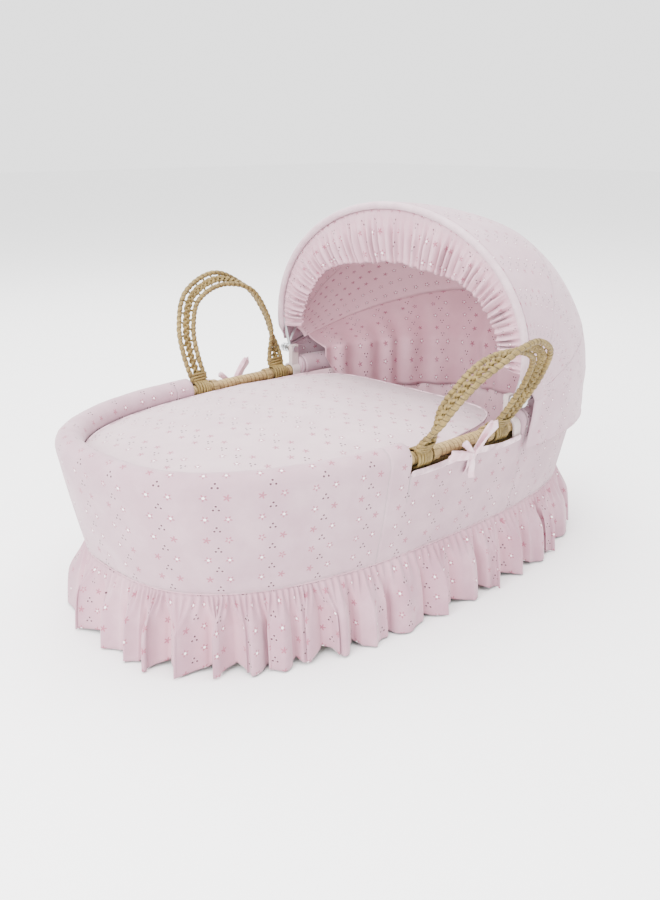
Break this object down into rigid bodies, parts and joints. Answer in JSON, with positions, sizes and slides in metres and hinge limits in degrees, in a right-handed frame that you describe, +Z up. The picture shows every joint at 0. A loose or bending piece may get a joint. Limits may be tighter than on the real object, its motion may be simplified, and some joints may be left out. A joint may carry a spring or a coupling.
{
  "type": "moses basket",
  "caption": "Woven palm moses basket with swinging carry handles, padded liner, mattress, coverlet, gathered cotton skirt and a folding lift-off hood.",
  "frame": {"origin": "on the ground under the middle of the basket, on the underside of the woven base", "axes": "+X towards the head end, which carries the hood; +Y towards the far side; +Z up"},
  "size_m": [0.845, 0.6012, 0.508],
  "materials": {
    "palm": "dry plaited palm leaf",
    "cotton": "pale pink cotton with embroidered eyelets",
    "cotton_lining": "pale pink cotton lining",
    "binding": "plain pink bias binding and ribbon",
    "mattress": "white quilted ticking",
    "clip_plastic": "satin white moulding",
    "wire": "plated wire"
  },
  "bodies": {
    "basket": {"basket_base": "palm", "basket_wall": "palm", "rim_rope": "palm", "near_foot_lashing": "palm", "near_head_lashing": "palm", "far_foot_lashing": "palm", "far_head_lashing": "palm", "liner_foot_roll": "cotton", "liner_head_roll": "cotton", "liner_wall": "cotton_lining", "mattress": "mattress", "skirt_foot_panel": "cotton", "skirt_head_panel": "cotton", "skirt_near_panel": "cotton", "skirt_far_panel": "cotton", "skirt_frill": "cotton", "near_opening_binding": "binding", "far_opening_binding": "binding", "near_ribbon_bow": "binding", "far_ribbon_bow": "binding"},
    "near_handle": {"near_handle_outer_cord": "palm", "near_handle_inner_cord": "palm", "near_handle_plait": "palm"},
    "far_handle": {"far_handle_outer_cord": "palm", "far_handle_inner_cord": "palm", "far_handle_plait": "palm"},
    "coverlet": {"coverlet": "cotton"},
    "hood": {"near_hood_clip": "clip_plastic", "far_hood_clip": "clip_plastic", "near_pivot_pin": "wire", "far_pivot_pin": "wire", "hood_rear_bow": "wire", "hood_rear_cover": "cotton", "hood_rear_lining": "cotton_lining"},
    "hood_mid": {"hood_mid_bow": "wire", "hood_mid_cover": "cotton", "hood_mid_lining": "cotton_lining"},
    "hood_front": {"hood_front_bow": "wire", "hood_front_cover": "cotton", "hood_front_lining": "cotton_lining", "hood_front_ridge": "cotton", "hood_front_frill": "cotton"}
  },
  "joints": [
    {"name": "near_handle_swing", "type": "hinge", "parent": "basket", "child": "near_handle", "pos_m": [-0.013, -0.22356, 0.226], "axis": [1, 0, 0], "range_deg": [-88, 57]},
    {"name": "far_handle_swing", "type": "hinge", "parent": "basket", "child": "far_handle", "pos_m": [-0.013, 0.22356, 0.226], "axis": [-1, 0, 0], "range_deg": [-72, 73]},
    {"name": "coverlet_lift", "type": "slide", "parent": "basket", "child": "coverlet", "axis": [0, 0, 1], "range_m": [0, 0.12]},
    {"name": "hood_lift", "type": "slide", "parent": "basket", "child": "hood", "axis": [0, 0, 1], "range_m": [0, 0.12]},
    {"name": "hood_fold", "type": "hinge", "parent": "hood", "child": "hood_mid", "pos_m": [0.096, 0, 0.262], "axis": [0, 1, 0], "range_deg": [0, 27], "deforming": ["hood_mid_cover", "hood_mid_lining"]},
    {"name": "hood_front_fold", "type": "hinge", "parent": "hood_mid", "child": "hood_front", "pos_m": [0.096, 0, 0.262], "axis": [0, 1, 0], "range_deg": [0, 27], "deforming": ["hood_front_cover", "hood_front_lining"]}
  ],
  "couplings": [
    {"joint": "hood_front_fold", "follows": "hood_fold", "ratio": 1}
  ]
}
